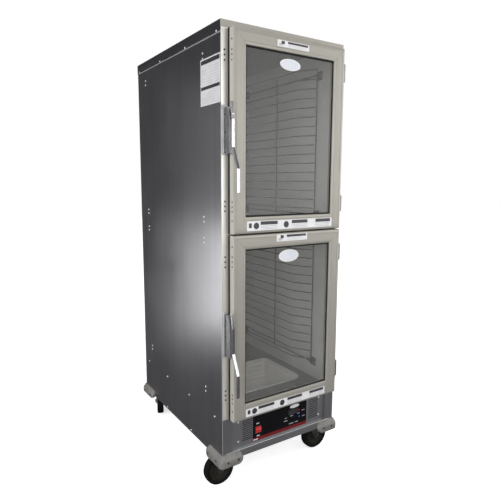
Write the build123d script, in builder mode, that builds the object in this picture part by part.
from build123d import *
import math
import os

os.makedirs("parts", exist_ok=True)

# A mobile proofing cabinet: a sheet metal box on four swivel casters, two glazed doors
# one above the other, wire pan racks on both side walls, and a heated humidity module
# under the floor. X is to the right, Y goes from the front to the back, Z is up, and the
# ground is at zero.

# ------------------------------------------------------------------ shell sizes
BODY_W = 561.2  # outside of the side panels
BODY_D = 794.1  # front of the jambs to the outside of the back
BODY_H = 1610.0  # bottom edge of the side panels to the top
LIFT = 140.0  # ground to the bottom edge of the side panels
SHEET = 1.6  # skin of the shell
FRAME_SHEET = 2.0  # skin of the front frame
CAP_PROUD = 1.9  # the cap's skirt stands outside the panels
CAP_SKIRT = 42.9
CAP_FRONT_SKIRT = 24.0
POST_W = 45.0
FRAME_D = 27.0  # depth of the front frame's returns
HEADER_LOW = 1546.0  # heights above the body's bottom edge
MULLION_LOW = 850.0
MULLION_HIGH = 910.0
SILL_LOW = 163.0
SILL_HIGH = 195.0
BACK_FLANGE = 20.0
RUNNING = 0.05  # radial clearance of a pin in its hole
HAIR = 0.05  # hairline between the separate solids of one group
HEAD_TAPER = 0.6  # top radius of a fastener head over its foot radius

# ------------------------------------------------------------------ casters
WHEEL_R = 63.5
TREAD_W = 32.0
TREAD_ROUND = 4.0
HUB_R = 46.0
HUB_W = 36.0
TRAIL = 37.5  # wheel axle behind the swivel axis
FRONT_INSET_X = 68.0
FRONT_INSET_Y = 86.0
REAR_INSET_X = 51.0
REAR_INSET_Y = 54.0
REAR_TURN = 22.0  # the rear wheels rest turned this far from straight back
AXLE_R = 5.0
KINGPIN_R = 6.0
PLATE_LONG = 92.0
PLATE_SHORT = 62.0
PLATE_T = 4.0
WEB_Z = 12.0  # underside of the base tray above its rim
RACE_R = 27.0
RACE_H = 5.0
CROWN_R = 30.0
CROWN_T = 4.0
CROWN_GAP = 0.4
LEG_T = 3.0
LEG_INSIDE = 18.6
LEG_END_R = 15.0
LEG_ROOT = 8.0  # the legs start this far beyond the crown
LEG_HEEL = 12.0  # and this far inside its other edge
AXLE_HEAD = 1.7  # radius of the bolt heads over the axle
AXLE_HEAD_T = 5.0
KINGPIN_HEAD = 1.6  # radius of the nut over the kingpin
KINGPIN_HEAD_T = 4.0
KINGPIN_CLEAR = 2.0
HUB_FACE = 2.0  # hub rim inside the tread, on each side
WEB_RIM = 8.0
WEB_BOSS = 5.0
WEB_DEEP = 4.0
WEB_MID = 3.0  # rim radius over boss radius
BOLT_INSET = 8.0

# ------------------------------------------------------------------ doors
DOOR_INSET = 26.8  # door edge inside the side panel, on both sides
DOOR_BACK = 13.6  # jamb face to the back of the door
DOOR_T = 26.9
STILE_W = 51.4
TOP_RAIL_H = 51.8
LOW_RAIL_H = 59.7
UPPER_DOOR = (882.6, 1582.1)
LOWER_DOOR = (173.6, 876.9)
LIP_BEVEL = 2.5
GROOVE_IN = 11.0
GROOVE_W = 1.4
GROOVE_D = 1.0
SLOT_W = 4.4
SLOT_D = 8.0
SLOT_BEHIND = 9.0  # door front to the glazing slot
PANE_T = 4.0
PANE_EDGE = 7.0
SEAL_W = 5.5
SEAL_T = 2.6
GASKET_W = 15.0
GASKET_OVER = 2.0
GASKET_GAP = 0.5

# ------------------------------------------------------------------ hinges
HINGE_X_IN = 10.7  # hinge axis inside the side panel
HINGE_Y = 21.0  # hinge axis in front of the jambs
KNUCKLE_R = 6.0
HINGE_PIN_R = 2.5
HINGE_H = 64.0
KNUCKLE_MID = 21.0
KNUCKLE_GAP = 0.4
LEAF_T = 2.4
LEAF_GAP = 0.6  # between the moving and the fixed leaf
LEAF_EDGE = 1.0
LEAF_FRONT = 2.0
HINGE_HEIGHTS = {"upper": (1495.0, 981.0), "lower": (780.0, 270.0)}
HINGE_HOLE_PITCH = 17.0
HINGE_HOLE_IN = 14.5
HINGE_HOLE_R = 2.2

# ------------------------------------------------------------------ latches
LATCH_UPPER = 1290.0  # lever pin above the body's bottom edge
LATCH_LOWER = 554.0
LEVER_REACH = 88.0  # lever nose in front of the jambs
LEVER_FLAT = 54.0
LEVER_TIP = 46.0
LEVER_T = 5.0
LEVER_W = 14.0
LEVER_MID_X = 17.5  # centre of the lever inside the side panel
LEVER_Z = (48.0, -12.0, -106.0, -178.0, -262.0)
LEVER_PIN_R = 3.0
LEVER_ROUND = 1.2
LEVER_PIN_Y = 36.0
TANG_W = 5.0
TANG_R = 8.0
LATCH_X = (9.0, 26.8)
LATCH_BACK = 14.5
LATCH_FRONT = 40.0
LATCH_Z = (-126.0, 32.0)
LATCH_CHAMFER_Y = 24.0
LATCH_SLOT_W = 6.2
LATCH_SLOT_LOW = -14.0
LATCH_SLOT_BACK = 24.0
MAGNET_X = (12.0, 22.0)
MAGNET_BACK = 9.5
MAGNET_Z = (-110.0, 10.0)
STRIKE_X = (3.0, 24.0)
STRIKE_T = 8.0
STRIKE_Z = (-128.0, 40.0)
STRIKE_SCREWS = (8.0, -52.0, -122.0)
STRIKE_HOLE_R = 3.2
STRIKE_HOLE_D = 2.0

# ------------------------------------------------------------------ interior
RACK_WIRE_R = 2.0
UPRIGHT_R = 2.5
UPRIGHT_X = 263.5
RUN_X = 217.5
UPRIGHT_Y = (133.0, 416.5, 700.0)
RUN_Y = (214.0, 619.0)
SLIDE_PITCH = 39.0
SLIDE_BEND = 12.0
RACKS = {"upper": (927.0, 1516.0), "lower": (250.0, 847.0)}  # hanger wires
SLIDES = {"upper": (955.0, 16), "lower": (262.0, 15)}  # lowest slide and number of slides
HANGER_OUT = 5.05
HANGER_END = 9.0
UPRIGHT_END = 9.0
UPRIGHT_ABOVE = 5.0  # uprights above the top slide
BRACKET_W = 32.0
BRACKET_SLOT = 15.0
BRACKET_LIP_H = 7.0
BRACKET_LIP_X = 262.0
BRACKET_FLANGE = (-20.0, 18.0)
BRACKET_GAP = 0.4
FLOOR_Z = 172.0
FLOOR_FLANGE = 22.0
FLOOR_Y = 28.5

# ------------------------------------------------------------------ heat and humidity module
PAN_Y = 296.0
PAN_W = 430.0
PAN_D = 268.0
PAN_CORNER = 28.0
PAN_TIERS = 5
PAN_TIER_H = 20.0
PAN_STEP = 1.5
PAN_SHEET = 1.0
PAN_RIM = 11.0
PAN_RIM_H = 7.7
PAN_RIM_T = 2.5
PAN_GAP = 1.0
PAN_SEAT = 0.3
MODULE_HALF_W = 234.0
MODULE_Y = (10.2, 650.0)
MODULE_LOW = 32.0
FAN_Y = 545.0
FAN_HOLE_R = 77.0
FAN_R = 68.0
FAN_HUB_R = 18.0
FAN_LOW = 104.0
FAN_H = 28.0
FAN_BLADES = 6
FAN_PITCH = 35.0
FAN_BLADE_T = 2.0
FAN_BLADE_IN = 2.0  # blade root inside the hub
FAN_BLADE_W = 39.2
SHAFT_R = 4.0
MOTOR_R = 45.0
MOTOR_H = 58.0
MOTOR_ROUND = 6.0
MOTOR_BOSS_R = 15.0
MOTOR_BOSS_H = 6.0
SHAFT_SHORT = 2.0  # shaft end below the top of the hub
GUARD_RINGS = (22.0, 40.0, 58.0, 75.0)
GUARD_WIRE_R = 1.5
GUARD_FLANGE_R = 88.0
GUARD_SPOKES = (0.0, 45.0, 90.0, 135.0)
GUARD_T = 2.4
ELEMENT_R = 4.0
ELEMENT_Z = 54.0
ELEMENT_BEND = 14.0
ELEMENT_X = 170.0
ELEMENT_ROWS = (180.0, 230.0, 280.0, 330.0, 380.0)
ELEMENT_TAIL_Y = 24.0
ELEMENT_TAIL_X = 200.0
ELEMENT_FOOT = 12.0  # half width of the mounting plates
ELEMENT_BACK = 42.0  # return run behind the last row
VENT_COUNT = 7
VENT_PITCH = 14.0
VENT_LONG = 60.0
VENT_WIDE = 6.0
VENT_Y = 80.0
VENT_X = 130.0

# ------------------------------------------------------------------ control panel
CONTROL_BACK = 8.0  # the plate is recessed behind the jambs
CONTROL_T = 1.6
CONTROL_Z = (31.2, 162.7)
LIP_H = 31.0
LOUVRE_COUNT = 11
LOUVRE_PITCH = 8.0
LOUVRE_H = 3.6
LOUVRE_LOW = 57.0
LOUVRE_LEFT = (-185.0, -140.0)
LOUVRE_RIGHT = (150.0, 202.0)
OVERLAY_X = (-136.6, 137.4)
OVERLAY_Z = (39.0, 152.0)
OVERLAY_T = 1.0
DISPLAY_X = (42.0, 90.0)
DISPLAY_Z = (103.0, 122.0)
DISPLAY_T = 0.8
LAMP_R = 3.5
LAMP_H = 2.2
LAMPS = ((97.6, 112.0), (97.6, 98.0), (97.6, 83.0))
SWITCH_X = -113.1
SWITCH_Z = 86.5
SWITCH_PIVOT = 10.0  # rocker axis behind the jambs
ROCKER_HALF = 12.3
ROCKER_NOSE = 5.0
ROCKER_EDGE = 3.4
ROCKER_BACK_R = 11.0
ROCKER_REST = 7.0
ROCKER_TAPER = 0.3
BEZEL_IN = 13.2
BEZEL_OUT = 15.6
BEZEL_FRONT = 4.6
SWITCH_BODY = 13.9
SWITCH_HOLE = 14.2
SWITCH_DEEP = 34.0
SWITCH_CAVITY = 23.5
SWITCH_PIN_R = 1.5
SWITCH_PIN_L = 1.2

# ------------------------------------------------------------------ trim and fasteners
BUMPER_T = 17.0
BUMPER_TOP = 30.0  # heights above the body's bottom edge
BUMPER_FRONT_LOW = -19.0
BUMPER_REAR_LOW = -12.6  # the rear wheels swivel under the rear guards
BUMPER_SIDE = 115.0
BUMPER_FRONT = 88.0
BUMPER_SCREW_R = 4.0
BUMPER_SCREW_T = 1.6
BUMPER_SCREW_SIDE = (22.0, 88.0)  # along the sides, from the front or the back
BUMPER_SCREW_FRONT = (16.0, 62.0)  # along the front, from the side
BUMPER_SCREW_Z = 3.0
RIVET_R = 4.2
RIVET_H = 1.5
RIVET_CAP = ((27.0, 275.0, 523.0, 769.0), 1576.0)  # positions along the side, and height
RIVET_FLOOR = ((60.0, 286.0, 516.0, 746.0), 164.0)
RIVET_TRAY = ((271.0, 524.0), 10.0)
RIVET_PAIR = 9.0  # above and below the middle of a rack bracket
PLATE_SCREW_X = 205.5
PLATE_SCREW_Z = (60.5, 140.5)
SCREW_R = 4.5
SCREW_H = 2.2
BOLT_R = 5.5
BOLT_H = 5.0
GLAND_X = 180.0
GLAND_Z = 70.0
GLAND_R = 14.0
GLAND_BORE_R = 5.0
GLAND_OUT = 16.0
GLAND_NECK_R = 10.8
GLAND_NECK_L = 6.4
GLAND_HOLE_R = 11.0

# ------------------------------------------------------------------ positions worked out
HALF_W = BODY_W / 2
turn = math.radians(REAR_TURN)
REAR_REACH = (
    BODY_D
    - REAR_INSET_Y
    + (TRAIL + WHEEL_R - TREAD_ROUND) * math.cos(turn)
    + (TREAD_W / 2 - TREAD_ROUND) * math.sin(turn)
    + TREAD_ROUND
)
JAMB = (LEVER_REACH - REAR_REACH) / 2  # front face of the jambs
BACK = JAMB + BODY_D
BASE = LIFT
TOP = LIFT + BODY_H
INNER_W = HALF_W - SHEET
OPEN_HALF = HALF_W - POST_W
DOOR_HALF = HALF_W - DOOR_INSET
DOOR_FRONT = JAMB - DOOR_BACK - DOOR_T
PANE_HALF = DOOR_HALF - STILE_W
HINGE_X = HALF_W - HINGE_X_IN
HINGE_AT = JAMB - HINGE_Y
FLOOR_TOP = BASE + FLOOR_Z
CASTERS = {
    "front_left": (-HALF_W + FRONT_INSET_X, JAMB + FRONT_INSET_Y, 180.0),
    "front_right": (HALF_W - FRONT_INSET_X, JAMB + FRONT_INSET_Y, 0.0),
    "rear_left": (-HALF_W + REAR_INSET_X, BACK - REAR_INSET_Y, 90.0 - REAR_TURN),
    "rear_right": (HALF_W - REAR_INSET_X, BACK - REAR_INSET_Y, 90.0 + REAR_TURN),
}
PLATE_TOP = BASE + WEB_Z
RACE_TOP = PLATE_TOP - PLATE_T
CROWN_TOP = RACE_TOP - RACE_H - CROWN_GAP


# ------------------------------------------------------------------ helpers
def slab(x0, x1, y0, y1, z0, z1, mode=Mode.ADD):
    """A box between two faces on each axis."""
    with Locations(((x0 + x1) / 2, (y0 + y1) / 2, (z0 + z1) / 2)):
        Box(abs(x1 - x0), abs(y1 - y0), abs(z1 - z0), mode=mode)


def rod(x, y, z, radius, length, axis, mode=Mode.ADD):
    """A round bar centred on a point, along X, Y or Z."""
    turns = {"x": (0, 90, 0), "y": (90, 0, 0), "z": (0, 0, 0)}
    with Locations(Location((x, y, z), turns[axis])):
        Cylinder(radius, length, mode=mode)


def head(x, y, z, radius, height, facing):
    """A low domed fastener head standing on a surface, facing outwards."""
    turns = {"-x": (0, -90, 0), "+x": (0, 90, 0), "-y": (90, 0, 0), "-z": (180, 0, 0)}
    with Locations(Location((x, y, z), turns[facing])):
        Cone(radius, radius * HEAD_TAPER, height, align=(Align.CENTER, Align.CENTER, Align.MIN))


def save(part, name):
    """Label the piece and write it as its own file."""
    part.label = name
    export_step(part, "parts/" + name + ".step")


# ------------------------------------------------------------------ shell
def side_panel(side, name):
    """One flat skin between the front post and the back."""
    with BuildPart() as panel:
        outer = side * HALF_W
        inner = side * INNER_W
        slab(outer, inner, JAMB + FRAME_SHEET, BACK, BASE, TOP - SHEET)
    save(panel.part, name)


def back_panel():
    """The back skin with two flanges that are riveted to the side panels."""
    with BuildPart() as panel:
        slab(-INNER_W, INNER_W, BACK - SHEET, BACK, BASE, TOP - SHEET)
        for side in (-1, 1):
            slab(side * INNER_W, side * (INNER_W - SHEET), BACK - BACK_FLANGE, BACK - SHEET,
                 BASE + FLOOR_Z, TOP - SHEET)
        rod(GLAND_X, BACK, BASE + GLAND_Z, GLAND_HOLE_R, BACK_FLANGE, "y", Mode.SUBTRACT)
    save(panel.part, "back_panel")


def top_cap():
    """A shallow lid whose skirts hang outside the panels."""
    half = HALF_W + CAP_PROUD
    front = JAMB - CAP_PROUD
    rear = BACK + CAP_PROUD
    with BuildPart() as cap:
        slab(-half, half, front, rear, TOP - CAP_SKIRT, TOP)
        slab(-half + SHEET, half - SHEET, front + SHEET, rear - SHEET, TOP - CAP_SKIRT,
             TOP - SHEET, Mode.SUBTRACT)
        slab(-half, half, front, front + SHEET, TOP - CAP_SKIRT, TOP - CAP_FRONT_SKIRT,
             Mode.SUBTRACT)
    save(cap.part, "top_cap")


def post(side, name):
    """A channel post of the front frame, drilled for either hand of hinge."""
    outer = side * HALF_W
    inner = side * OPEN_HALF
    with BuildPart() as channel:
        slab(outer, inner, JAMB, JAMB + FRAME_SHEET, BASE, TOP - SHEET)
        slab(inner, inner + side * FRAME_SHEET, JAMB, JAMB + FRAME_D, BASE, TOP - SHEET)
        slab(side * INNER_W, side * (INNER_W - FRAME_SHEET), JAMB, JAMB + FRAME_D, BASE,
             TOP - SHEET)
        for heights in HINGE_HEIGHTS.values():
            for middle in heights:
                for step in (-1, 0, 1):
                    z = BASE + middle + step * HINGE_HOLE_PITCH
                    rod(side * (HALF_W - HINGE_HOLE_IN), JAMB, z, HINGE_HOLE_R,
                        3 * FRAME_SHEET, "y", Mode.SUBTRACT)
    save(channel.part, name)


def crossbar(low, high, name):
    """A channel that joins the posts."""
    edge = OPEN_HALF - HAIR
    with BuildPart() as bar:
        slab(-edge, edge, JAMB, JAMB + FRAME_SHEET, BASE + low, BASE + high)
        slab(-edge, edge, JAMB, JAMB + FRAME_D, BASE + low, BASE + low + FRAME_SHEET)
        slab(-edge, edge, JAMB, JAMB + FRAME_D, BASE + high - FRAME_SHEET, BASE + high)
    save(bar.part, name)


def cabinet_floor():
    """The inside floor, open for the water pan, the fan and two groups of air slots."""
    low = FLOOR_TOP - SHEET
    rear = BACK - BACK_FLANGE - HAIR
    with BuildPart() as deck:
        slab(-INNER_W, INNER_W, JAMB + FLOOR_Y, rear, low, FLOOR_TOP)
        for side in (-1, 1):
            slab(side * INNER_W, side * (INNER_W - SHEET), JAMB + FLOOR_Y, rear,
                 FLOOR_TOP - FLOOR_FLANGE, low)
        with BuildSketch(Plane.XY.offset(low)):
            with Locations((0, JAMB + PAN_Y)):
                RectangleRounded(PAN_W + 2 * PAN_GAP, PAN_D + 2 * PAN_GAP, PAN_CORNER + PAN_GAP)
            with Locations((0, JAMB + FAN_Y)):
                Circle(FAN_HOLE_R)
            for side in (-1, 1):
                for slot in range(VENT_COUNT):
                    x = side * VENT_X + (slot - (VENT_COUNT - 1) / 2) * VENT_PITCH
                    with Locations((x, JAMB + VENT_Y)):
                        SlotOverall(VENT_LONG, VENT_WIDE, rotation=90)
        extrude(amount=SHEET, mode=Mode.SUBTRACT)
    save(deck.part, "cabinet_floor")


def base_tray():
    """The tray under the cabinet that carries the casters, with a lip at the front."""
    edge = OPEN_HALF - HAIR
    wide = INNER_W
    start = JAMB + FLOOR_Y
    end = BACK - SHEET
    with BuildPart() as tray:
        slab(-wide, wide, start, end, BASE + WEB_Z, BASE + WEB_Z + FRAME_SHEET)
        slab(-edge, edge, JAMB, start, BASE + WEB_Z, BASE + WEB_Z + FRAME_SHEET)
        slab(-edge, edge, JAMB, JAMB + FRAME_SHEET, BASE, BASE + LIP_H)
        slab(-edge, edge, JAMB, JAMB + CONTROL_BACK + CONTROL_T, BASE + LIP_H - FRAME_SHEET,
             BASE + LIP_H)
        for side in (-1, 1):
            slab(side * wide, side * (wide - FRAME_SHEET), start, end, BASE, BASE + LIP_H)
        slab(-wide, wide, end - FRAME_SHEET, end, BASE, BASE + LIP_H)
    save(tray.part, "base_tray")


# ------------------------------------------------------------------ wire racks
def rack(side, level):
    """Uprights, hanger wires and bent pan slides, each a separate length of wire."""
    low, high = RACKS[level]
    first, count = SLIDES[level]
    foot = BASE + low - UPRIGHT_END
    peak = BASE + max(high + UPRIGHT_END, first + (count - 1) * SLIDE_PITCH + UPRIGHT_ABOVE)
    run = side * RUN_X
    stand = side * UPRIGHT_X
    reach = UPRIGHT_R + RACK_WIRE_R + HAIR
    slope = math.hypot(UPRIGHT_X - RUN_X, RUN_Y[0] - UPRIGHT_Y[0])
    dx = side * (UPRIGHT_X - RUN_X) / slope * reach
    dy = (RUN_Y[0] - UPRIGHT_Y[0]) / slope * reach
    with BuildPart() as wires:
        for y in UPRIGHT_Y:
            rod(stand, JAMB + y, (foot + peak) / 2, UPRIGHT_R, peak - foot, "z")
        for z in (low, high):
            rod(stand + side * HANGER_OUT, JAMB + (UPRIGHT_Y[0] + UPRIGHT_Y[2]) / 2, BASE + z,
                UPRIGHT_R, UPRIGHT_Y[2] - UPRIGHT_Y[0] + 2 * HANGER_END, "y")
        for number in range(count):
            z = BASE + first + number * SLIDE_PITCH
            begin = (stand - dx, JAMB + UPRIGHT_Y[0] + dy, z)
            finish = (stand - dx, JAMB + UPRIGHT_Y[2] - dy, z)
            with BuildLine() as path:
                FilletPolyline(begin, (run, JAMB + RUN_Y[0], z), (run, JAMB + RUN_Y[1], z),
                               finish, radius=SLIDE_BEND)
            heading = Vector(run, JAMB + RUN_Y[0], z) - Vector(*begin)
            with BuildSketch(Plane(origin=begin, z_dir=heading)):
                Circle(RACK_WIRE_R)
            sweep(path=path.line)
    side_name = "left" if side < 0 else "right"
    save(wires.part, "rack_" + level + "_" + side_name)


def rack_brackets():
    """Forked hooks on the side walls; each holds a hanger wire beside an upright."""
    with BuildPart() as hooks:
        for side in (-1, 1):
            for low, high in RACKS.values():
                for height in (low, high):
                    for y in (UPRIGHT_Y[0], UPRIGHT_Y[2]):
                        bracket(side, JAMB + y, BASE + height)
    save(hooks.part, "rack_brackets")


def bracket(side, y, z):
    """One hook: wall flange, shelf and an upturned lip, slotted for the upright."""
    wall = side * INNER_W
    under = z - UPRIGHT_R - BRACKET_GAP
    half = BRACKET_W / 2
    slab(wall, wall - side * SHEET, y - half, y + half, z + BRACKET_FLANGE[0],
         z + BRACKET_FLANGE[1])
    for way in (-1, 1):
        near = y + way * BRACKET_SLOT / 2
        far = y + way * half
        slab(wall, side * BRACKET_LIP_X, near, far, under - SHEET, under)
        slab(side * BRACKET_LIP_X, side * (BRACKET_LIP_X + SHEET), near, far, under - SHEET,
             under + BRACKET_LIP_H)


# ------------------------------------------------------------------ module under the floor
def module_housing():
    """A tray under the floor that holds the pan well, the heater and the fan."""
    front = JAMB + MODULE_Y[0]
    rear = JAMB + MODULE_Y[1]
    low = BASE + MODULE_LOW
    high = FLOOR_TOP - SHEET - HAIR
    with BuildPart() as tray:
        slab(-MODULE_HALF_W, MODULE_HALF_W, front + FLOOR_Y, rear, low, high)
        slab(-MODULE_HALF_W + SHEET, MODULE_HALF_W - SHEET, front + FLOOR_Y, rear - SHEET,
             low + SHEET, high, Mode.SUBTRACT)
    save(tray.part, "module_housing")


def heating_element():
    """A bent tubular heater under the water pan, with a mounting flange."""
    z = BASE + ELEMENT_Z
    points = [(-ELEMENT_TAIL_X, JAMB + ELEMENT_TAIL_Y + FLOOR_Y, z)]
    x = -ELEMENT_TAIL_X
    for number, y in enumerate(ELEMENT_ROWS):
        points.append((x, JAMB + y, z))
        x = ELEMENT_X if number % 2 == 0 else -ELEMENT_X
        points.append((x, JAMB + y, z))
    points.append((x, JAMB + ELEMENT_ROWS[-1] + ELEMENT_BACK, z))
    points.append((ELEMENT_TAIL_X, JAMB + ELEMENT_ROWS[-1] + ELEMENT_BACK, z))
    points.append((ELEMENT_TAIL_X, JAMB + ELEMENT_TAIL_Y + FLOOR_Y, z))
    with BuildPart() as heater:
        with BuildLine() as path:
            FilletPolyline(*points, radius=ELEMENT_BEND)
        with BuildSketch(Plane(origin=points[0], z_dir=(0, 1, 0))):
            Circle(ELEMENT_R)
        sweep(path=path.line)
        for side in (-1, 1):
            x = side * ELEMENT_TAIL_X
            y = JAMB + ELEMENT_TAIL_Y + FLOOR_Y
            slab(x - ELEMENT_FOOT, x + ELEMENT_FOOT, y, y + ELEMENT_R,
                 BASE + MODULE_LOW + SHEET, z + ELEMENT_FOOT)
    save(heater.part, "heating_element")


def fan_motor():
    """The motor with its upright shaft."""
    low = BASE + MODULE_LOW + SHEET
    y = JAMB + FAN_Y
    with BuildPart() as motor:
        rod(0, y, low + MOTOR_H / 2, MOTOR_R, MOTOR_H, "z")
        fillet(motor.edges().filter_by(GeomType.CIRCLE).sort_by(Axis.Z)[-1:], radius=MOTOR_ROUND)
        rod(0, y, low + MOTOR_H + MOTOR_BOSS_H / 2, MOTOR_BOSS_R, MOTOR_BOSS_H, "z")
        top = BASE + FAN_LOW + FAN_H - SHAFT_SHORT
        rod(0, y, (low + MOTOR_H + top) / 2, SHAFT_R, top - low - MOTOR_H, "z")
    save(motor.part, "fan_motor")


def fan_impeller():
    """A hub with pitched blades."""
    low = BASE + FAN_LOW
    y = JAMB + FAN_Y
    long = FAN_R - FAN_HUB_R + FAN_BLADE_IN
    with BuildPart() as fan:
        rod(0, y, low + FAN_H / 2, FAN_HUB_R, FAN_H, "z")
        for blade in range(FAN_BLADES):
            angle = 360 / FAN_BLADES * blade
            spot = Location((0, y, low + FAN_H / 2), (0, 0, angle))
            spot = spot * Location((FAN_R - long / 2, 0, 0), (FAN_PITCH, 0, 0))
            with Locations(spot):
                Box(long, FAN_BLADE_W, FAN_BLADE_T)
        slab(-FAN_R, FAN_R, y - FAN_R, y + FAN_R, low + FAN_H, low + 2 * FAN_H, Mode.SUBTRACT)
        slab(-FAN_R, FAN_R, y - FAN_R, y + FAN_R, low - FAN_H, low, Mode.SUBTRACT)
        rod(0, y, low + FAN_H / 2, SHAFT_R + RUNNING, FAN_H, "z", Mode.SUBTRACT)
    save(fan.part, "fan_impeller")


def fan_guard():
    """Rings and spokes over the fan, cut from one plate with a flat rim on the floor."""
    with BuildPart() as guard:
        with BuildSketch(Plane.XY.offset(FLOOR_TOP)):
            with Locations((0, JAMB + FAN_Y)):
                Circle(GUARD_FLANGE_R)
                Circle(FAN_HOLE_R, mode=Mode.SUBTRACT)
                for radius in GUARD_RINGS:
                    with BuildSketch(mode=Mode.PRIVATE) as hoop:
                        Circle(radius + GUARD_WIRE_R)
                        Circle(radius - GUARD_WIRE_R, mode=Mode.SUBTRACT)
                    add(hoop.sketch)
                for angle in GUARD_SPOKES:
                    Rectangle(2 * FAN_HOLE_R + GUARD_WIRE_R, 2 * GUARD_WIRE_R, rotation=angle)
        extrude(amount=GUARD_T)
    save(guard.part, "fan_guard")


def water_pan():
    """A drawn pan with stepped walls and a raised rim, hanging in the floor opening."""
    rim = FLOOR_TOP + PAN_SEAT
    at = (0, JAMB + PAN_Y)
    with BuildPart() as pan:
        with BuildSketch(Plane.XY.offset(rim)):
            with Locations(at):
                RectangleRounded(PAN_W + 2 * PAN_RIM, PAN_D + 2 * PAN_RIM, PAN_CORNER + PAN_RIM)
        extrude(amount=PAN_RIM_H)
        with BuildSketch(Plane.XY.offset(rim + PAN_SHEET)):
            with Locations(at):
                RectangleRounded(PAN_W + 2 * PAN_RIM - 2 * PAN_RIM_T,
                                 PAN_D + 2 * PAN_RIM - 2 * PAN_RIM_T,
                                 PAN_CORNER + PAN_RIM - PAN_RIM_T)
        extrude(amount=PAN_RIM_H, mode=Mode.SUBTRACT)
        for tier in range(PAN_TIERS):
            shrink = 2 * PAN_STEP * tier
            with BuildSketch(Plane.XY.offset(rim - (tier + 1) * PAN_TIER_H)):
                with Locations(at):
                    RectangleRounded(PAN_W - shrink, PAN_D - shrink, PAN_CORNER)
            extrude(amount=PAN_TIER_H)
        for tier in range(PAN_TIERS):
            shrink = 2 * PAN_STEP * tier + 2 * PAN_SHEET
            with BuildSketch(Plane.XY.offset(rim - (tier + 1) * PAN_TIER_H + PAN_SHEET)):
                with Locations(at):
                    RectangleRounded(PAN_W - shrink, PAN_D - shrink, PAN_CORNER - PAN_SHEET)
            extrude(amount=PAN_TIER_H, mode=Mode.SUBTRACT)
    save(pan.part, "water_pan")


# ------------------------------------------------------------------ control panel
def control_plate():
    """The recessed front plate with a bank of slots at each end."""
    front = JAMB + CONTROL_BACK
    edge = OPEN_HALF - HAIR
    with BuildPart() as plate:
        slab(-edge, edge, front, front + CONTROL_T, BASE + CONTROL_Z[0], BASE + CONTROL_Z[1])
        for low, high in (LOUVRE_LEFT, LOUVRE_RIGHT):
            for slot in range(LOUVRE_COUNT):
                z = BASE + LOUVRE_LOW + slot * LOUVRE_PITCH
                slab(low, high, front, front + CONTROL_T, z, z + LOUVRE_H, Mode.SUBTRACT)
        slab(SWITCH_X - SWITCH_HOLE, SWITCH_X + SWITCH_HOLE, front, front + CONTROL_T,
             BASE + SWITCH_Z - SWITCH_HOLE, BASE + SWITCH_Z + SWITCH_HOLE, Mode.SUBTRACT)
    save(plate.part, "control_plate")
    with BuildPart() as overlay:
        slab(OVERLAY_X[0], OVERLAY_X[1], front - OVERLAY_T, front, BASE + OVERLAY_Z[0],
             BASE + OVERLAY_Z[1])
        slab(SWITCH_X - SWITCH_HOLE, SWITCH_X + SWITCH_HOLE, front - OVERLAY_T, front,
             BASE + SWITCH_Z - SWITCH_HOLE, BASE + SWITCH_Z + SWITCH_HOLE, Mode.SUBTRACT)
    save(overlay.part, "control_overlay")
    face = front - OVERLAY_T
    with BuildPart() as display:
        slab(DISPLAY_X[0], DISPLAY_X[1], face - DISPLAY_T, face, BASE + DISPLAY_Z[0],
             BASE + DISPLAY_Z[1])
    save(display.part, "display_window")
    with BuildPart() as lamps:
        for x, z in LAMPS:
            rod(x, face - LAMP_H / 2, BASE + z, LAMP_R, LAMP_H, "y")
    save(lamps.part, "indicator_lamps")


def switch():
    """A rocker on two side pins inside a framed housing."""
    pivot = JAMB + SWITCH_PIVOT
    z = BASE + SWITCH_Z
    face = JAMB + CONTROL_BACK - OVERLAY_T
    with BuildPart() as housing:
        slab(SWITCH_X - BEZEL_OUT, SWITCH_X + BEZEL_OUT, JAMB + BEZEL_FRONT, face,
             z - BEZEL_OUT, z + BEZEL_OUT)
        slab(SWITCH_X - SWITCH_BODY, SWITCH_X + SWITCH_BODY, face, JAMB + SWITCH_DEEP,
             z - SWITCH_BODY, z + SWITCH_BODY)
        slab(SWITCH_X - BEZEL_IN, SWITCH_X + BEZEL_IN, JAMB, JAMB + SWITCH_CAVITY,
             z - BEZEL_IN, z + BEZEL_IN, Mode.SUBTRACT)
        for side in (-1, 1):
            x = SWITCH_X + side * (BEZEL_IN - SWITCH_PIN_L)
            rod(x, pivot, z, SWITCH_PIN_R, 2 * SWITCH_PIN_L, "x")
    save(housing.part, "switch_housing")
    with BuildPart() as rocker:
        nose = SWITCH_PIVOT - ROCKER_NOSE
        edge = SWITCH_PIVOT - ROCKER_EDGE
        outline = [(-edge, ROCKER_HALF - ROCKER_TAPER), (-nose, 0),
                   (-edge, ROCKER_TAPER - ROCKER_HALF),
                   (0, -ROCKER_BACK_R), (0, ROCKER_BACK_R)]
        with BuildSketch(Plane.YZ.offset(-ROCKER_HALF)):
            Polygon(*outline, align=None)
            Circle(ROCKER_BACK_R)
        extrude(amount=2 * ROCKER_HALF)
        for side in (-1, 1):
            rod(side * ROCKER_HALF, 0, 0, SWITCH_PIN_R + RUNNING, 3 * SWITCH_PIN_L, "x",
                Mode.SUBTRACT)
    tilted = rocker.part.rotate(Axis.X, -ROCKER_REST)
    save(tilted.moved(Location((SWITCH_X, pivot, z))), "rocker_switch")


# ------------------------------------------------------------------ doors
def ring_slabs(half, low, high, side_w, low_h, high_h, y0, y1):
    """Four straight bars round an opening; the uprights run between the level bars."""
    slab(-half, half, y0, y1, low, low + low_h)
    slab(-half, half, y0, y1, high - high_h, high)
    for side in (-1, 1):
        slab(side * half, side * (half - side_w), y0, y1, low + low_h + HAIR,
             high - high_h - HAIR)


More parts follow.
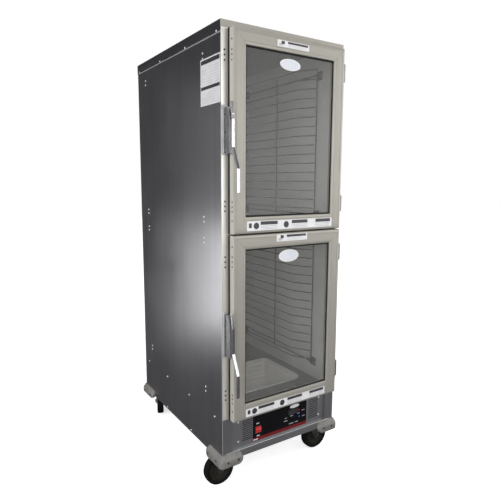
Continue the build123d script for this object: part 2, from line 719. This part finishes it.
def door_frame(level, low, high):
    """Four mitred rails, grooved for the pane, with a bevelled inner edge."""
    out_x = DOOR_HALF
    in_x = PANE_HALF
    in_low = low + LOW_RAIL_H
    in_high = high - TOP_RAIL_H
    front = DOOR_FRONT
    rails = (
        [(-out_x + HAIR, high), (out_x - HAIR, high), (in_x - HAIR, in_high),
         (-in_x + HAIR, in_high)],
        [(-out_x + HAIR, low), (out_x - HAIR, low), (in_x - HAIR, in_low),
         (-in_x + HAIR, in_low)],
        [(-out_x, low + HAIR), (-out_x, high - HAIR), (-in_x, in_high - HAIR),
         (-in_x, in_low + HAIR)],
        [(out_x, low + HAIR), (out_x, high - HAIR), (in_x, in_high - HAIR),
         (in_x, in_low + HAIR)],
    )
    with BuildPart() as frame:
        for outline in rails:
            with BuildSketch(Plane.XZ.offset(-front)):
                Polygon(*outline, align=None)
            extrude(amount=-DOOR_T)
        slot = front + SLOT_BEHIND
        slab(-in_x - SLOT_D, in_x + SLOT_D, slot, slot + SLOT_W, in_low - SLOT_D,
             in_high + SLOT_D, Mode.SUBTRACT)
        with BuildSketch(Plane.XZ.offset(-front)):
            with Locations((0, (low + high) / 2)):
                Rectangle(2 * (out_x - GROOVE_IN), high - low - 2 * GROOVE_IN)
                Rectangle(2 * (out_x - GROOVE_IN - GROOVE_W),
                          high - low - 2 * (GROOVE_IN + GROOVE_W), mode=Mode.SUBTRACT)
        extrude(amount=-GROOVE_D, mode=Mode.SUBTRACT)
        bevel = Plane(origin=(0, front, (in_low + in_high) / 2), x_dir=(1, 0, 0), z_dir=(0, 1, 0))
        with BuildSketch(bevel):
            Rectangle(2 * (in_x + LIP_BEVEL), in_high - in_low + 2 * LIP_BEVEL)
        extrude(amount=LIP_BEVEL, taper=45, mode=Mode.SUBTRACT)
    save(frame.part, level + "_door_frame")


def door_glazing(level, low, high):
    """The pane and the seal that shows round it."""
    in_low = low + LOW_RAIL_H
    in_high = high - TOP_RAIL_H
    face = DOOR_FRONT + SLOT_BEHIND + (SLOT_W - PANE_T) / 2
    with BuildPart() as pane:
        slab(-PANE_HALF - PANE_EDGE, PANE_HALF + PANE_EDGE, face, face + PANE_T,
             in_low - PANE_EDGE, in_high + PANE_EDGE)
    save(pane.part, level + "_door_window")
    with BuildPart() as seal:
        ring_slabs(PANE_HALF, in_low, in_high, SEAL_W, SEAL_W, SEAL_W, face - SEAL_T, face)
    save(seal.part, level + "_door_glazing_seal")


def door_gasket(level, low, high):
    """A soft strip behind the door's edge that meets the front frame."""
    back = JAMB - DOOR_BACK
    half = DOOR_HALF + GASKET_OVER
    with BuildPart() as strip:
        ring_slabs(half, low - GASKET_OVER, high + GASKET_OVER, GASKET_W, GASKET_W, GASKET_W,
                   back, JAMB - GASKET_GAP)
    save(strip.part, level + "_door_gasket")


def hinge_knuckle(z0, z1):
    """One barrel length round the hinge axis, bored for the pin."""
    rod(HINGE_X, HINGE_AT, (z0 + z1) / 2, KNUCKLE_R, z1 - z0, "z")
    rod(HINGE_X, HINGE_AT, (z0 + z1) / 2, HINGE_PIN_R + RUNNING, z1 - z0, "z", Mode.SUBTRACT)


def hinge_leaves_moving(level):
    """The door's hinge leaves: a plate on the door's edge and the middle knuckle."""
    edge = DOOR_HALF
    with BuildPart() as leaves:
        for middle in HINGE_HEIGHTS[level]:
            z = BASE + middle
            half = KNUCKLE_MID / 2
            slab(edge, edge + LEAF_T, DOOR_FRONT + LEAF_FRONT, JAMB - DOOR_BACK - LEAF_EDGE,
                 z - HINGE_H / 2, z + HINGE_H / 2)
            slab(edge + LEAF_T, HINGE_X, HINGE_AT - LEAF_T, HINGE_AT + LEAF_T, z - half,
                 z + half)
            hinge_knuckle(z - half, z + half)
    save(leaves.part, level + "_door_hinge_leaves")


def hinge_leaves_fixed():
    """The frame's hinge leaves with the outer knuckles."""
    with BuildPart() as leaves:
        for heights in HINGE_HEIGHTS.values():
            for middle in heights:
                z = BASE + middle
                slab(DOOR_HALF + LEAF_T + LEAF_GAP, HALF_W - LEAF_EDGE, JAMB - LEAF_T, JAMB,
                     z - HINGE_H / 2, z + HINGE_H / 2)
                for way in (-1, 1):
                    near = z + way * (KNUCKLE_MID / 2 + KNUCKLE_GAP)
                    far = z + way * HINGE_H / 2
                    slab(HINGE_X - LEAF_T, HINGE_X + LEAF_T, HINGE_AT, JAMB - LEAF_T,
                         min(near, far), max(near, far))
                    hinge_knuckle(min(near, far), max(near, far))
    save(leaves.part, "hinge_leaves_fixed")


def hinge_pins():
    """One pin with a domed head through each hinge."""
    with BuildPart() as pins:
        for heights in HINGE_HEIGHTS.values():
            for middle in heights:
                z = BASE + middle
                rod(HINGE_X, HINGE_AT, z, HINGE_PIN_R, HINGE_H + 2 * LEAF_T, "z")
                rod(HINGE_X, HINGE_AT, z + HINGE_H / 2 + LEAF_T, KNUCKLE_R - LEAF_EDGE, LEAF_T, "z")
    save(pins.part, "hinge_pins")


# ------------------------------------------------------------------ latches
def latch_body(level, pin_z):
    """A block on the door's edge with the lever's pin and a magnet facing the strike."""
    x0 = -HALF_W + LATCH_X[0]
    x1 = -HALF_W + LATCH_X[1]
    mid = -HALF_W + LEVER_MID_X
    z = BASE + pin_z
    low = z + LATCH_Z[0]
    high = z + LATCH_Z[1]
    with BuildPart() as body:
        with BuildSketch(Plane.YZ.offset(x0)):
            Polygon((JAMB - LATCH_BACK, low), (JAMB - LATCH_FRONT, low),
                    (JAMB - LATCH_FRONT, z), (JAMB - LATCH_CHAMFER_Y, high),
                    (JAMB - LATCH_BACK, high), align=None)
        extrude(amount=x1 - x0)
        slab(mid - LATCH_SLOT_W / 2, mid + LATCH_SLOT_W / 2, JAMB - LATCH_FRONT,
             JAMB - LATCH_SLOT_BACK, z + LATCH_SLOT_LOW, high, Mode.SUBTRACT)
        slab(-HALF_W + MAGNET_X[0], -HALF_W + MAGNET_X[1], JAMB - LATCH_BACK,
             JAMB - MAGNET_BACK, z + MAGNET_Z[0], z + MAGNET_Z[1])
        rod((x0 + x1) / 2, JAMB - LEVER_PIN_Y, z, LEVER_PIN_R, x1 - x0, "x")
    save(body.part, level + "_latch_body")


def latch_lever(level, pin_z):
    """A bent bar that stands further forward towards its lower end."""
    z = BASE + pin_z
    mid = -HALF_W + LEVER_MID_X
    faces = (LEVER_TIP, LEVER_FLAT, LEVER_FLAT, LEVER_REACH, LEVER_REACH)
    front = [(JAMB - y, z + up) for y, up in zip(faces, LEVER_Z)]
    back = [(y + LEVER_T, up) for y, up in reversed(front)]
    with BuildPart() as lever:
        with BuildSketch(Plane.YZ.offset(mid - LEVER_W / 2)):
            Polygon(*front, *back, align=None)
        extrude(amount=LEVER_W)
        upright = lever.edges().filter_by(Axis.Z)
        fillet(upright, radius=LEVER_ROUND)
        slab(mid - TANG_W / 2, mid + TANG_W / 2, JAMB - LEVER_FLAT + LEVER_T / 2,
             JAMB - LEVER_PIN_Y, z - TANG_R, z + TANG_R)
        rod(mid, JAMB - LEVER_PIN_Y, z, TANG_R, TANG_W, "x")
        rod(mid, JAMB - LEVER_PIN_Y, z, LEVER_PIN_R + RUNNING, 2 * TANG_W, "x", Mode.SUBTRACT)
    save(lever.part, level + "_latch_lever")


def strikes():
    """Two strike plates on the left post, each with three screw recesses."""
    mid = -HALF_W + (STRIKE_X[0] + STRIKE_X[1]) / 2
    with BuildPart() as plates:
        for pin_z in (LATCH_UPPER, LATCH_LOWER):
            z = BASE + pin_z
            slab(-HALF_W + STRIKE_X[0], -HALF_W + STRIKE_X[1], JAMB - STRIKE_T, JAMB,
                 z + STRIKE_Z[0], z + STRIKE_Z[1])
            for at in STRIKE_SCREWS:
                rod(mid, JAMB - STRIKE_T, z + at, STRIKE_HOLE_R, STRIKE_HOLE_D, "y", Mode.SUBTRACT)
    save(plates.part, "latch_strikes")


# ------------------------------------------------------------------ casters
def caster_plates():
    """Each top plate with its fixed race and kingpin."""
    with BuildPart() as plates:
        for x, y, _ in CASTERS.values():
            slab(x - PLATE_SHORT / 2, x + PLATE_SHORT / 2, y - PLATE_LONG / 2,
                 y + PLATE_LONG / 2, RACE_TOP, PLATE_TOP)
            rod(x, y, RACE_TOP - RACE_H / 2, RACE_R, RACE_H, "z")
            low = CROWN_TOP - CROWN_T - KINGPIN_CLEAR - KINGPIN_HEAD_T
            rod(x, y, (low + RACE_TOP) / 2, KINGPIN_R, RACE_TOP - low, "z")
            rod(x, y, low + KINGPIN_HEAD_T / 2, KINGPIN_HEAD * KINGPIN_R, KINGPIN_HEAD_T, "z")
    save(plates.part, "caster_plates")


def caster_bolts():
    """Four bolt heads under every caster plate."""
    with BuildPart() as bolts:
        for x, y, _ in CASTERS.values():
            for along in (-1, 1):
                for across in (-1, 1):
                    with Locations((x + across * (PLATE_SHORT / 2 - BOLT_INSET),
                                    y + along * (PLATE_LONG / 2 - BOLT_INSET),
                                    RACE_TOP - BOLT_H / 2)):
                        Cylinder(BOLT_R, BOLT_H)
    save(bolts.part, "caster_bolts")


def caster_fork(name, x, y, angle):
    """Crown, two legs and the axle bolt; the wheel trails the swivel axis."""
    drop = WHEEL_R - CROWN_TOP
    with BuildPart() as fork:
        rod(0, 0, -CROWN_T / 2, CROWN_R, CROWN_T, "z")
        slab(0, CROWN_R + LEG_ROOT, -LEG_INSIDE - LEG_T, LEG_INSIDE + LEG_T, -CROWN_T, 0)
        for side in (-1, 1):
            with BuildSketch(Plane.XZ.offset(side * LEG_INSIDE)):
                Polygon((LEG_HEEL - CROWN_R, 0), (CROWN_R + LEG_ROOT, 0), (TRAIL + LEG_END_R, drop),
                        (TRAIL - LEG_END_R, drop), align=None)
                with Locations((TRAIL, drop)):
                    Circle(LEG_END_R)
            extrude(amount=side * LEG_T)
            rod(TRAIL, side * (LEG_INSIDE + LEG_T + AXLE_HEAD_T / 2), drop, AXLE_HEAD * AXLE_R,
                AXLE_HEAD_T, "y")
        rod(TRAIL, 0, drop, AXLE_R, 2 * (LEG_INSIDE + LEG_T), "y")
        rod(0, 0, -CROWN_T / 2, KINGPIN_R + RUNNING, 2 * CROWN_T, "z", Mode.SUBTRACT)
    turned = fork.part.rotate(Axis.Z, angle)
    save(turned.moved(Location((x, y, CROWN_TOP))), "caster_fork_" + name)


def caster_wheel(name, x, y, angle):
    """A rubber tyre on a moulded hub with a dished web."""
    with BuildPart() as wheel:
        rod(TRAIL, 0, 0, WHEEL_R, TREAD_W, "y")
        rims = wheel.edges().filter_by(GeomType.CIRCLE)
        fillet(rims, radius=TREAD_ROUND)
        rod(TRAIL, 0, 0, HUB_R, 2 * TREAD_W, "y", Mode.SUBTRACT)
        rod(TRAIL, 0, 0, HUB_R - HAIR, TREAD_W - 2 * HUB_FACE, "y")
        rod(TRAIL, 0, 0, HUB_R / WEB_MID, HUB_W, "y")
        rod(TRAIL, 0, 0, AXLE_R + RUNNING, 2 * HUB_W, "y", Mode.SUBTRACT)
        for way in (-1, 1):
            face = way * (TREAD_W / 2 - HUB_FACE)
            with BuildSketch(Plane.XZ.offset(-face)):
                with Locations((TRAIL, 0)):
                    Circle(HUB_R - WEB_RIM)
                    Circle(HUB_R / WEB_MID + WEB_BOSS, mode=Mode.SUBTRACT)
            extrude(amount=way * WEB_DEEP, mode=Mode.SUBTRACT)
    turned = wheel.part.rotate(Axis.Z, angle)
    save(turned.moved(Location((x, y, WHEEL_R))), "caster_wheel_" + name)


# ------------------------------------------------------------------ trim and fasteners
def corner_guard(side, way):
    """One moulded guard wrapped round a bottom corner, with rounded ends."""
    low = BASE + (BUMPER_FRONT_LOW if way < 0 else BUMPER_REAR_LOW)
    high = BASE + BUMPER_TOP
    tall = high - low
    wall = side * HALF_W
    end = JAMB if way < 0 else BACK
    corner_x = wall + side * BUMPER_T
    corner_y = end + way * BUMPER_T
    front_tip = wall - side * (BUMPER_FRONT - tall / 2)
    side_tip = end - way * (BUMPER_SIDE - tall / 2)
    with BuildPart() as guard:
        slab(corner_x, front_tip, corner_y, end, low, high)
        slab(corner_x, wall, corner_y, side_tip, low, high)
        upright = guard.edges().filter_by(Axis.Z)
        fillet(upright.sort_by_distance((corner_x, corner_y, low))[0], radius=BUMPER_T)
        rod(front_tip, (corner_y + end) / 2, (low + high) / 2, tall / 2, BUMPER_T, "y")
        rod((corner_x + wall) / 2, side_tip, (low + high) / 2, tall / 2, BUMPER_T, "x")
    return guard.part


def bumpers():
    """Four moulded corner guards that wrap the bottom edges of the cabinet."""
    corners = [corner_guard(side, way) for side in (-1, 1) for way in (-1, 1)]
    with BuildPart() as guards:
        add(corners)
    save(guards.part, "corner_bumpers")


def bumper_screws():
    """Two screw heads on each arm of each bumper."""
    with BuildPart() as screws:
        for side in (-1, 1):
            face = "+x" if side > 0 else "-x"
            z = BASE + BUMPER_SCREW_Z
            for along in BUMPER_SCREW_SIDE:
                for y in (JAMB + along, BACK - along):
                    head(side * (HALF_W + BUMPER_T), y, z, BUMPER_SCREW_R, BUMPER_SCREW_T, face)
            for along in BUMPER_SCREW_FRONT:
                x = side * (HALF_W - along)
                head(x, JAMB - BUMPER_T, z, BUMPER_SCREW_R, BUMPER_SCREW_T, "-y")
    save(screws.part, "bumper_screws")


def shell_rivets():
    """Domed rivets on both sides: cap, rack brackets, floor and base tray."""
    spots = []
    for row, height in (RIVET_CAP, RIVET_FLOOR, RIVET_TRAY):
        spots += [(y, height) for y in row]
    for low, high in RACKS.values():
        for height in (low, high):
            for y in (UPRIGHT_Y[0], UPRIGHT_Y[2]):
                spots += [(y, height + RIVET_PAIR), (y, height - RIVET_PAIR)]
    with BuildPart() as rivets:
        for side in (-1, 1):
            face = "+x" if side > 0 else "-x"
            for y, z in spots:
                proud = CAP_PROUD if z > BODY_H - CAP_SKIRT else 0.0
                head(side * (HALF_W + proud), JAMB + y, BASE + z, RIVET_R, RIVET_H, face)
    save(rivets.part, "shell_rivets")


def plate_screws():
    """Four screws that hold the control plate."""
    with BuildPart() as screws:
        for side in (-1, 1):
            for z in PLATE_SCREW_Z:
                head(side * PLATE_SCREW_X, JAMB + CONTROL_BACK, BASE + z, SCREW_R, SCREW_H, "-y")
    save(screws.part, "plate_screws")


def cord_gland():
    """A round strain relief in the back where the supply cord would enter."""
    with BuildPart() as gland:
        rod(GLAND_X, BACK + GLAND_OUT / 2, BASE + GLAND_Z, GLAND_R, GLAND_OUT, "y")
        rod(GLAND_X, BACK - SHEET, BASE + GLAND_Z, GLAND_NECK_R, GLAND_NECK_L, "y")
        rod(GLAND_X, BACK, BASE + GLAND_Z, GLAND_BORE_R, 4 * GLAND_OUT, "y", Mode.SUBTRACT)
    save(gland.part, "cord_gland")


# ------------------------------------------------------------------ build every piece
side_panel(-1, "side_panel_left")
side_panel(1, "side_panel_right")
back_panel()
top_cap()
post(-1, "post_left")
post(1, "post_right")
crossbar(HEADER_LOW, BODY_H - SHEET, "header")
crossbar(MULLION_LOW, MULLION_HIGH, "mullion")
crossbar(SILL_LOW, SILL_HIGH, "sill")
cabinet_floor()
base_tray()
for level in RACKS:
    rack(-1, level)
    rack(1, level)
rack_brackets()
module_housing()
heating_element()
fan_motor()
fan_impeller()
fan_guard()
water_pan()
control_plate()
switch()
for level, span in (("upper", UPPER_DOOR), ("lower", LOWER_DOOR)):
    door_frame(level, BASE + span[0], BASE + span[1])
    door_glazing(level, BASE + span[0], BASE + span[1])
    door_gasket(level, BASE + span[0], BASE + span[1])
    hinge_leaves_moving(level)
hinge_leaves_fixed()
hinge_pins()
latch_body("upper", LATCH_UPPER)
latch_body("lower", LATCH_LOWER)
latch_lever("upper", LATCH_UPPER)
latch_lever("lower", LATCH_LOWER)
strikes()
caster_plates()
caster_bolts()
for name, (x, y, angle) in CASTERS.items():
    caster_fork(name, x, y, angle)
    caster_wheel(name, x, y, angle)
bumpers()
bumper_screws()
shell_rivets()
plate_screws()
cord_gland()

print("jamb face y", round(JAMB, 3), "back y", round(BACK, 3), "top z", TOP)
print("hinge axis", round(HINGE_X, 3), round(HINGE_AT, 3))
print("latch pin y", round(JAMB - LEVER_PIN_Y, 3), "x", round(-HALF_W + LEVER_MID_X, 3))
for name, (x, y, angle) in CASTERS.items():
    away = Vector(TRAIL, 0, 0).rotate(Axis.Z, angle)
    print(name, round(x, 3), round(y, 3), "axle", round(x + away.X, 3), round(y + away.Y, 3), angle)
